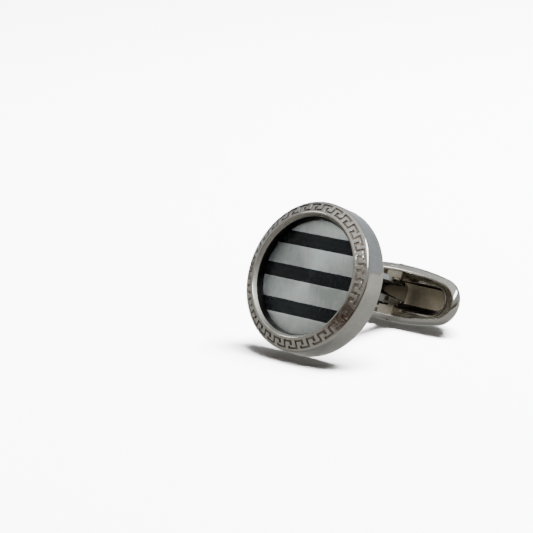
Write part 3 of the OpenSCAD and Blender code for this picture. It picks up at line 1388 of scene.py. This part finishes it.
            # Rings at the same depth are told apart by a hair's breadth
            apart = depth + 2 * NEAR * half_w
            self.add_ring(apart, half_w, 0.0, before)
            before = apart
        for depth, half_w in self.slot_foot:
            self.add_ring(depth, half_w, self.foot_rise, before)
            before = depth
        Bench.select(Element.EDGES, lambda e: self.level(before)(e) and len(e.link_faces) < 2)
        bpy.ops.mesh.fill_grid(span=5)
        Bench.face_outwards()
        for finish in (self.polish, self.dish, self.slot, self.floor):
            piece.data.materials.append(finish.material())
        slot_top = self.lip[-1][0] + 0.1
        slot_floor = self.slot_foot[-1][0] - 0.01
        spans = {
            1: (self.rim[-1][0], min(depth for depth, _ in self.lip)),
            # Painted shade: the slot's walls take the near-black finish
            2: (slot_top, slot_floor),
            3: (slot_floor, math.inf),
        }
        for index, (low, high) in spans.items():
            Bench.select(Element.FACES, lambda f: self.is_hollow(f) and low < self.depth_of(f) < high)
            Bench.assign(index)
        Bench.close()
        Bench.apply(piece, "SUBSURF", levels=2, render_levels=2)
        self.add_lugs(piece)
        gap, floor = self.slot_half_w, self.notch_floor
        end = self.half_len + self.past_end
        cutter = self.block("notch", (-end, -gap, -floor), (-self.notch_start, gap, floor))
        Bench.select(Element.EDGES, lambda e: all(v.co.z < self.pin.z for v in e.verts))
        Bench.bevel(self.notch_round, 4)
        Bench.close()
        Bench.combine(piece, cutter, "DIFFERENCE")
        hole = Bench.rod("pin_hole", self.hole_r, self.half_w * 3, self.pin, turn=UPRIGHT)
        Bench.close()
        Bench.combine(piece, hole, "DIFFERENCE")
        Bench.smooth(piece, 40.0)
        self.lay.place(piece)
        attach(piece, "toggle_body")
        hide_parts("toggle")
        return piece


@dataclass
class HingePin:
    """The pin through the toggle and the end of the post, with rounded flush ends.

    Attributes:
        lay: How the cufflink lies.
        steel: The finish.
        pin: The pin's middle.
        radius: Its radius.
        half_len: Half of its length.
        dome_w: Width of the slope round each end.
        dome_h: How far the middle of an end stands out.
        rounding: Rounding of the ends' edges.
    """

    lay: Lay
    steel: PolishedPlating
    pin: Vector
    radius: float = 0.45
    half_len: float = 3.57
    dome_w: float = 0.17
    dome_h: float = 0.02
    rounding: float = 0.06

    def is_end_edge(self, edge: bmesh.types.BMEdge) -> bool:
        """Tell whether an edge lies round an end of the pin.

        Args:
            edge: The edge.

        Returns:
            Whether it does.
        """
        radii = [math.hypot(v.co.x, v.co.z - self.pin.z) for v in edge.verts]
        level = abs(edge.verts[0].co.y - edge.verts[1].co.y) < NEAR
        return level and all(abs(radius - self.radius) < NEAR for radius in radii)

    def build(self) -> bpy.types.Object:
        """Make the pin.

        Returns:
            The finished piece.
        """
        piece = Bench.rod("swivel_pin", self.radius, 2 * self.half_len, self.pin, turn=UPRIGHT)
        Bench.select(Element.FACES, lambda f: abs(f.normal.y) > 0.9)
        bpy.ops.mesh.inset(thickness=self.dome_w, use_individual=True)
        Bench.scale((1.0, (self.half_len + self.dome_h) / self.half_len, 1.0), self.pin)
        Bench.select(Element.EDGES, self.is_end_edge)
        Bench.bevel(self.rounding, 3)
        Bench.close()
        Bench.smooth(piece, 50.0)
        piece.data.materials.append(self.steel.material())
        self.lay.place(piece)
        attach(piece, "toggle_body")
        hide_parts("hinge_pin")
        return piece


# The studio


# What a square metre of soft light takes for a radiance of 1
WATTS_PER_RADIANCE = 4.0


class Seen(Enum):
    """What a soft light is seen by."""

    BY_METAL = "mirrored in metal, and lights nothing else"
    BY_TABLE = "lights the table and the rest, and isn't mirrored"


@dataclass(frozen=True)
class Softbox:
    """A soft light over the table.

    Attributes:
        name: Its name.
        place: Where it hangs, in metres.
        aim: What it points at, in metres.
        size: Its length and width, in metres.
        radiance: How bright its face is.
        seen: What it is seen by.
        roll: How far its length is turned from level, in degrees.
    """

    name: str
    place: Point
    aim: Point
    size: tuple[float, float]
    radiance: float
    seen: Seen
    roll: float = 0.0

    def hang(self) -> None:
        """Hang the light."""
        data = bpy.data.lights.new(self.name, "AREA")
        data.shape = "RECTANGLE"
        data.size, data.size_y = self.size
        data.energy = self.radiance * WATTS_PER_RADIANCE * self.size[0] * self.size[1]
        light = bpy.data.objects.new(self.name, data)
        light.location = self.place
        light.rotation_mode = "QUATERNION"
        level = (Vector(self.aim) - Vector(self.place)).to_track_quat("-Z", "Y")
        light.rotation_quaternion = level @ Quaternion((0, 0, 1), math.radians(self.roll))
        light.visible_diffuse = self.seen is Seen.BY_TABLE
        light.visible_glossy = self.seen is Seen.BY_METAL
        bpy.context.scene.collection.objects.link(light)


@dataclass
class Studio:
    """Pale table, soft lights and the camera.

    Attributes:
        camera_at: Where the camera stands, in metres.
        right: The way to the right of its picture.
        up: The way up its picture.
        lens: Its focal length, in millimetres.
        sensor: Its picture's width, in millimetres.
        table_size: Side of the table, in metres.
        sheet_lift: How far above the table the mirrored sheet lies, in metres.
        table_dull: Colour of the table's duller clouds.
        table_white: Its colour elsewhere.
        room_front: Colour of the room in front of the table.
        room_back: Colour of the room behind it.
        room_top: Colour of the room overhead.
        room_dim: Colour of the dim part, low on the camera's side.
        sheet_near: Colour of the mirrored sheet round the cufflink, kept dark there as painted shade.
        sheet_back: Its colour behind the cufflink.
        sheet_front: Its colour in front of it, a dark painted reflection.
        sheet_fade: From where to where it goes from the front's colour to the near one, in metres.
        sheet_rise: From where to where it goes on to the back's colour, in metres.
        sheet_glow: How bright the sheet shines by itself, though it is no lamp: painted light in the
            metal's reflections.
        softboxes: The lights.
    """

    camera_at: Point = (0.16298, -0.18870, 0.07468)
    right: Point = (0.7338, 0.6789, -0.0259)
    up: Point = (-0.1544, 0.2039, 0.9668)
    lens: float = 146.9
    sensor: float = 36.0
    table_size: float = 4.0
    sheet_lift: float = 0.00005
    table_dull: Colour = (0.90, 0.90, 0.90)
    table_white: Colour = (0.92, 0.92, 0.92)
    room_front: Colour = (0.74, 0.73, 0.68)
    room_back: Colour = (0.84, 0.90, 0.98)
    room_top: Colour = (1.60, 1.60, 1.54)
    room_dim: Colour = (0.13, 0.08, 0.055)
    sheet_near: Colour = (0.037, 0.037, 0.035)
    sheet_back: Colour = (0.052, 0.052, 0.049)
    sheet_front: Colour = (0.0135, 0.0098, 0.0080)
    sheet_fade: tuple[float, float] = (-0.07, -0.008)
    sheet_rise: tuple[float, float] = (0.008, 0.04)
    sheet_glow: float = 11.0
    softboxes: tuple[Softbox, ...] = (
        Softbox("right_softbox", (0.26, 0.01, 0.39), (0, 0, 0.01), (0.52, 0.12), 14.0, Seen.BY_METAL),
        Softbox("left_softbox", (-0.33, -0.15, 0.34), (0, 0, 0.01), (0.11, 0.10), 9.0, Seen.BY_METAL),
        Softbox("key_softbox", (0.062, 0.20, 0.58), (0, 0, 0), (0.42, 0.24), 128.0, Seen.BY_TABLE, 55.7),
        Softbox("fill_softbox", (-0.15, 0.34, 0.36), (0, 0, 0), (0.90, 0.55), 0.60, Seen.BY_TABLE),
    )

    def build_camera(self) -> None:
        """Set up the camera."""
        camera = bpy.data.objects.new("camera", bpy.data.cameras.new("camera"))
        bpy.context.scene.collection.objects.link(camera)
        camera.data.lens = self.lens
        camera.data.sensor_width = self.sensor
        camera.data.clip_start = 0.01
        camera.data.clip_end = 20.0
        right = Vector(self.right).normalized()
        back = right.cross(Vector(self.up)).normalized()
        up = back.cross(right)
        turned = [[right[i], up[i], back[i], self.camera_at[i]] for i in range(3)]
        camera.matrix_world = Matrix([*turned, [0.0, 0.0, 0.0, 1.0]])
        bpy.context.scene.camera = camera

    def build_table(self) -> None:
        """Lay the pale table, and the greyer sheet that the metal mirrors in its place: a glowing painted
        reflection, dark round the cufflink as painted shade.
        """
        table = Bench.start("table", bpy.ops.mesh.primitive_plane_add, size=self.table_size)
        Bench.close()
        table.visible_glossy = False
        shader = Shader("table_white")
        cloud = shader.noise(shader.node("ShaderNodeTexCoord", out="Object"), scale=3.0, detail=2.0)
        white = shader.tint(cloud, self.table_dull, self.table_white)
        table.data.materials.append(shader.dress(Base_Color=white, Roughness=0.9, Specular_IOR_Level=0.1))
        plane = {"size": self.table_size, "location": (0, 0, self.sheet_lift)}
        sheet = Bench.start("mirrored_sheet", bpy.ops.mesh.primitive_plane_add, **plane)
        Bench.close()
        sheet.visible_camera = False
        sheet.visible_diffuse = False
        sheet.visible_shadow = False
        shader = Shader("sheet_painted_reflection")
        across, along, _ = shader.axes(shader.node("ShaderNodeTexCoord", out="Object"))
        # Painted reflection: darker in front and, as painted shade, round the cufflink, lighter behind; it
        # glows by itself
        slant = along + across * 0.5
        front = shader.spread(slant, 1.0, 0.0, *self.sheet_fade)
        back = shader.spread(slant, 0.0, 1.0, *self.sheet_rise)
        painted_reflection = shader.tint(front, shader.tint(back, self.sheet_near, self.sheet_back), self.sheet_front)
        glow = {"Emission_Color": painted_reflection, "Emission_Strength": self.sheet_glow}
        matt = {"Roughness": 0.9, "Specular_IOR_Level": 0.0}
        sheet.data.materials.append(shader.dress(Base_Color=painted_reflection, **matt, **glow))

    def build_world(self) -> None:
        """Fill the room with soft light."""
        world = bpy.data.worlds.new("room")
        world.use_nodes = True
        shader = Shader.over(world.node_tree)
        across, along, up = shader.axes(shader.node("ShaderNodeTexCoord", out="Generated"))
        towards_camera = across * 0.75 - along * 0.66
        low = shader.spread(up, 1.0, 0.0, start=0.12, end=0.45)
        dim = shader.spread(towards_camera, 0.0, 1.0, start=0.35, end=0.75) * low
        depth = shader.spread(along, 0.0, 1.0, start=-0.6, end=0.9)
        overhead = shader.spread(up, 0.0, 1.0, start=0.70, end=0.90)
        walls = shader.tint(overhead, shader.tint(depth, self.room_front, self.room_back), self.room_top)
        shade = shader.tint(dim, walls, self.room_dim)
        background = world.node_tree.nodes["Background"]
        world.node_tree.links.new(shade.socket, background.inputs["Color"])
        background.inputs["Strength"].default_value = 1.0
        world.cycles_visibility.diffuse = False
        bpy.context.scene.world = world

    def build(self) -> None:
        """Set everything up, and log each light."""
        self.build_table()
        self.build_world()
        for softbox in self.softboxes:
            softbox.hang()
            LOG.info("%s: %s", softbox.name, softbox.seen.value)
        self.build_camera()


@dataclass(frozen=True)
class Finishes:
    """The finishes that differ from the plain polish, each under the name of what it covers.

    Attributes:
        lay: How the cufflink lies.
    """

    lay: Lay

    def enamel(self) -> BrushedFace:
        """Mix the bars' glossy black, smooth but for a trace of the face's brushing and of its painted
        sheen.

        Returns:
            The finish.
        """
        return BrushedFace(
            "black_enamel",
            self.lay,
            light=(0.0045, 0.0056, 0.0062),
            dark=(0.0022, 0.0027, 0.003),
            gloss=0.16,
            haze=0.26,
            metallic=0.0,
            shine=0.10,
            rays_mm=0.0001,
            grain_mm=0.0001,
        )

    def pin(self) -> PolishedPlating:
        """Return the pin's steel."""
        light, dark = (0.27, 0.25, 0.22), (0.20, 0.185, 0.16)
        return PolishedPlating("pin_steel", self.lay, light, dark, gloss=0.18, haze=0.3)

    def recess(self) -> PolishedPlating:
        """Return the near-black finish of the recess wall, painted shade."""
        light, dark = (0.009, 0.0088, 0.0085), (0.005, 0.005, 0.005)
        return PolishedPlating("recess_painted_shade", self.lay, light, dark, gloss=0.34, haze=0.48)

    def lip_inside(self) -> PolishedPlating:
        """Return the satin slope inside the lip."""
        light, dark = (0.34, 0.335, 0.315), (0.28, 0.275, 0.255)
        return PolishedPlating("lip_satin", self.lay, light, dark, gloss=0.42, haze=0.54)

    def dish(self) -> PolishedPlating:
        """Return the toggle's satin dish."""
        light, dark = (0.38, 0.355, 0.30), (0.28, 0.26, 0.21)
        return PolishedPlating("dish_satin", self.lay, light, dark, gloss=0.34, haze=0.46, ripple_mm=0.002)

    def slot(self) -> PolishedPlating:
        """Return the near-black finish of the toggle's slot walls, painted shade."""
        light, dark = (0.006, 0.0055, 0.005), (0.003, 0.003, 0.0025)
        return PolishedPlating("slot_painted_shade", self.lay, light, dark, gloss=0.25, haze=0.4)

    def slot_floor(self) -> PolishedPlating:
        """Return the brownish floor of the slot."""
        light, dark = (0.38, 0.335, 0.26), (0.26, 0.225, 0.17)
        return PolishedPlating("slot_floor", self.lay, light, dark, gloss=0.45, haze=0.60, ripple_mm=0.002)


def main() -> None:
    """Build the cufflink and its studio."""
    logging.basicConfig(level=logging.INFO, format="%(name)s: %(message)s")
    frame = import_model()
    pin = Vector((0.0, 2.05, -16.8))
    lay = Lay.from_swivel(frame["joints"][0], pin)
    LOG.info("the face leans back by %.3f degrees", math.degrees(lay.tilt))
    polish = PolishedPlating("polished_plating", lay)
    finishes = Finishes(lay)
    # The plate's and the bars' finishes both carry a painted sheen of light and dark fans
    face = Face(lay, BrushedFace("brushed_face_painted_sheen", lay), finishes.enamel())
    pieces = [
        Cup(lay, polish, KeyPatina(lay), finishes.recess(), finishes.lip_inside()).build(),
        Post(lay, polish, pin).build(),
        face.build_plate(),
    ]
    for row, name in ((1, "stripe_top"), (0, "stripe_middle"), (-1, "stripe_bottom")):
        pieces.append(face.build_bar(row, name))
    hollow = (finishes.dish(), finishes.slot(), finishes.slot_floor())
    pieces.append(Toggle(lay, polish, *hollow, pin).build())
    pieces.append(HingePin(lay, finishes.pin(), pin).build())
    for piece in pieces:
        LOG.info("%s: %d faces", piece.name, len(piece.data.polygons))
    Studio().build()


if __name__ == "__main__":
    main()
